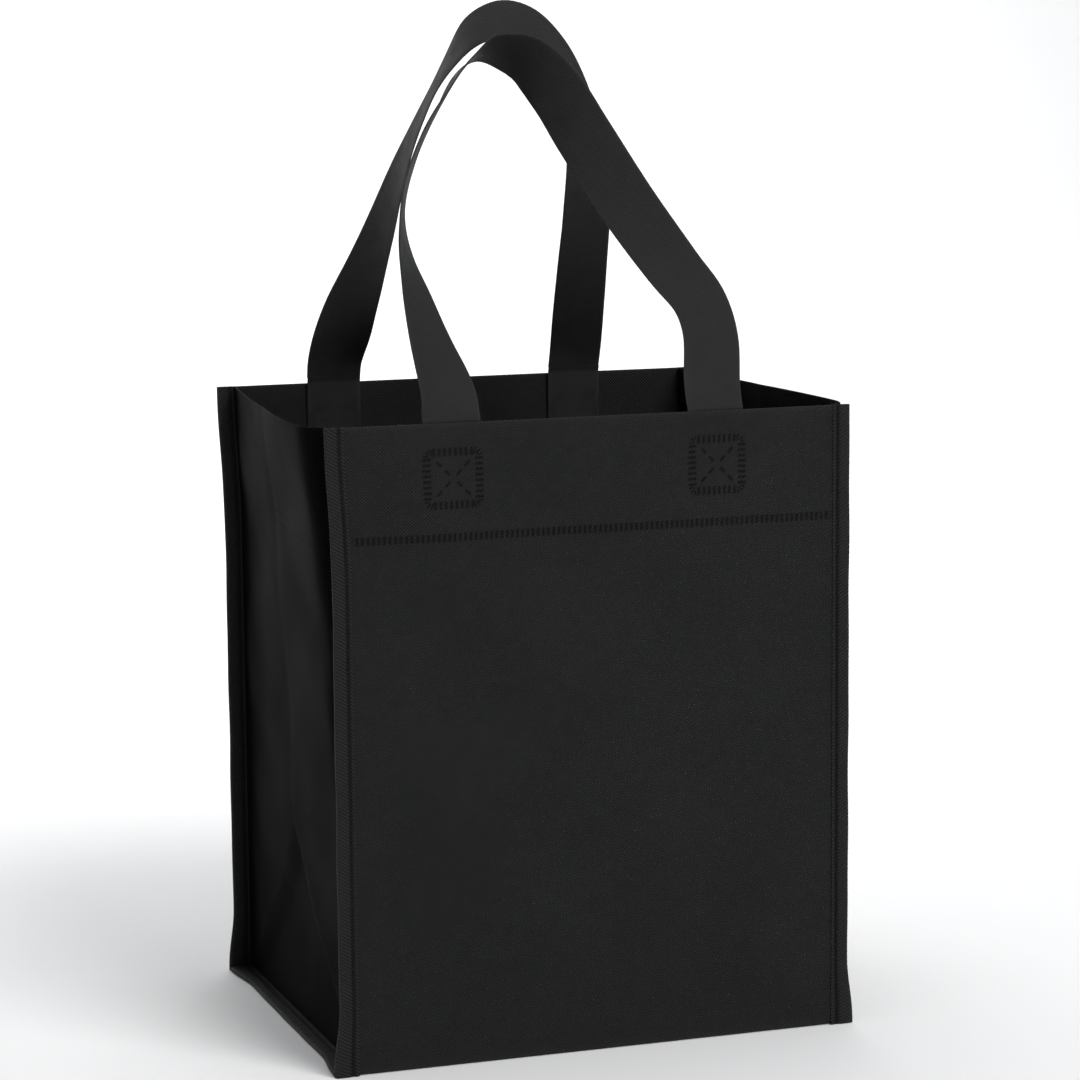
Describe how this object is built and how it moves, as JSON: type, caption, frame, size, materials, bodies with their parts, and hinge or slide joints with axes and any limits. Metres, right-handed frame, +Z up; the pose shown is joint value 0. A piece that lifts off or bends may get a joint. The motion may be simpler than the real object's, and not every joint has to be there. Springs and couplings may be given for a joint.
{
  "type": "foldable tote bag",
  "caption": "Open-topped box-shaped shopping tote of non-woven cloth with strap handles, bound side seams and side panels that fold in.",
  "frame": {"origin": "middle of the bag's footprint, on the floor", "axes": "+Z up, +X to the bag's right as seen from the front, -Y towards the front"},
  "size_m": [0.322, 0.2558, 0.6233],
  "materials": {
    "panel_cloth": "black spunbond polypropylene with a fine diamond emboss, soft low sheen",
    "side_cloth": "black spunbond polypropylene, single layer",
    "tape": "black spunbond binding tape, stitched",
    "strap": "black folded spunbond strap with an embossed grain",
    "board": "thin black plastic sheet, matt"
  },
  "bodies": {
    "back_panel": {"back_panel": "panel_cloth", "binding_left_back": "tape", "binding_right_back": "tape", "strap_back_left_end": "strap", "strap_back_right_end": "strap"},
    "front_panel": {"front_panel": "panel_cloth", "binding_left_front": "tape", "binding_right_front": "tape", "strap_front_left_end": "strap", "strap_front_right_end": "strap"},
    "side_left_front": {"side_left_front": "side_cloth"},
    "tuck_left_front": {"tuck_left_front": "side_cloth"},
    "side_left_rear": {"side_left_rear": "side_cloth"},
    "tuck_left_rear": {"tuck_left_rear": "side_cloth"},
    "side_right_front": {"side_right_front": "side_cloth"},
    "tuck_right_front": {"tuck_right_front": "side_cloth"},
    "side_right_rear": {"side_right_rear": "side_cloth"},
    "tuck_right_rear": {"tuck_right_rear": "side_cloth"},
    "base_front": {"base_front": "panel_cloth", "board_front": "board", "binding_left_base_front": "tape", "binding_right_base_front": "tape"},
    "base_rear": {"base_rear": "panel_cloth", "board_rear": "board", "binding_left_base_rear": "tape", "binding_right_base_rear": "tape"},
    "strap_front_feet": {"strap_front_left_foot": "strap", "strap_front_right_foot": "strap"},
    "handle_front": {"handle_front": "strap"},
    "strap_back_feet": {"strap_back_left_foot": "strap", "strap_back_right_foot": "strap"},
    "handle_back": {"handle_back": "strap"}
  },
  "joints": [
    {"name": "fold", "type": "hinge", "parent": "back_panel", "child": "side_left_rear", "pos_m": [-0.15, 0.123, 0.19], "axis": [0, 0, 1], "range_deg": [0, 84]},
    {"name": "side_left_crease", "type": "hinge", "parent": "side_left_rear", "child": "side_left_front", "pos_m": [-0.15, 0, 0.19], "axis": [0, 0, -1], "range_deg": [0, 168]},
    {"name": "front_seam", "type": "hinge", "parent": "side_left_front", "child": "front_panel", "pos_m": [-0.15, -0.123, 0.19], "axis": [0, 0, 1], "range_deg": [0, 84]},
    {"name": "side_right_seam", "type": "hinge", "parent": "back_panel", "child": "side_right_rear", "pos_m": [0.15, 0.123, 0.19], "axis": [0, 0, -1], "range_deg": [0, 84]},
    {"name": "side_right_crease", "type": "hinge", "parent": "side_right_rear", "child": "side_right_front", "pos_m": [0.15, 0, 0.19], "axis": [0, 0, 1], "range_deg": [0, 168]},
    {"name": "base_rear_crease", "type": "hinge", "parent": "back_panel", "child": "base_rear", "pos_m": [0, 0.123, 0], "axis": [-1, 0, 0], "range_deg": [0, 84]},
    {"name": "base_front_crease", "type": "hinge", "parent": "front_panel", "child": "base_front", "pos_m": [0, -0.123, 0], "axis": [1, 0, 0], "range_deg": [0, 84]},
    {"name": "tuck_left_front_crease", "type": "hinge", "parent": "base_front", "child": "tuck_left_front", "pos_m": [-0.15, -0.06, 0.0026], "axis": [0, 1, 0], "range_deg": [0, 84], "deforming": ["tuck_left_front"]},
    {"name": "tuck_left_rear_crease", "type": "hinge", "parent": "base_rear", "child": "tuck_left_rear", "pos_m": [-0.15, 0.06, 0.0026], "axis": [0, 1, 0], "range_deg": [0, 84], "deforming": ["tuck_left_rear"]},
    {"name": "tuck_right_front_crease", "type": "hinge", "parent": "base_front", "child": "tuck_right_front", "pos_m": [0.15, -0.06, 0.0026], "axis": [0, -1, 0], "range_deg": [0, 84], "deforming": ["tuck_right_front"]},
    {"name": "tuck_right_rear_crease", "type": "hinge", "parent": "base_rear", "child": "tuck_right_rear", "pos_m": [0.15, 0.06, 0.0026], "axis": [0, -1, 0], "range_deg": [0, 84], "deforming": ["tuck_right_rear"]},
    {"name": "front_strap_lean", "type": "hinge", "parent": "front_panel", "child": "strap_front_feet", "pos_m": [0, -0.1246, 0.3818], "axis": [1, 0, 0], "range_deg": [0, 34]},
    {"name": "back_strap_lean", "type": "hinge", "parent": "back_panel", "child": "strap_back_feet", "pos_m": [0, 0.1246, 0.3818], "axis": [-1, 0, 0], "range_deg": [0, 34]},
    {"name": "front_handle_swing", "type": "hinge", "parent": "strap_front_feet", "child": "handle_front", "pos_m": [0, -0.12, 0.3962], "axis": [1, 0, 0], "range_deg": [0, 140]},
    {"name": "back_handle_swing", "type": "hinge", "parent": "strap_back_feet", "child": "handle_back", "pos_m": [0, 0.12, 0.3962], "axis": [-1, 0, 0], "range_deg": [0, 140]}
  ],
  "couplings": [
    {"joint": "side_left_crease", "follows": "fold", "ratio": 2},
    {"joint": "front_seam", "follows": "fold", "ratio": 1},
    {"joint": "side_right_seam", "follows": "fold", "ratio": 1},
    {"joint": "side_right_crease", "follows": "fold", "ratio": 2},
    {"joint": "base_rear_crease", "follows": "fold", "ratio": 1},
    {"joint": "base_front_crease", "follows": "fold", "ratio": 1},
    {"joint": "tuck_left_front_crease", "follows": "fold", "ratio": 1},
    {"joint": "tuck_left_rear_crease", "follows": "fold", "ratio": 1},
    {"joint": "tuck_right_front_crease", "follows": "fold", "ratio": 1},
    {"joint": "tuck_right_rear_crease", "follows": "fold", "ratio": 1},
    {"joint": "front_strap_lean", "follows": "fold", "ratio": 0.4047},
    {"joint": "back_strap_lean", "follows": "fold", "ratio": 0.4047}
  ]
}
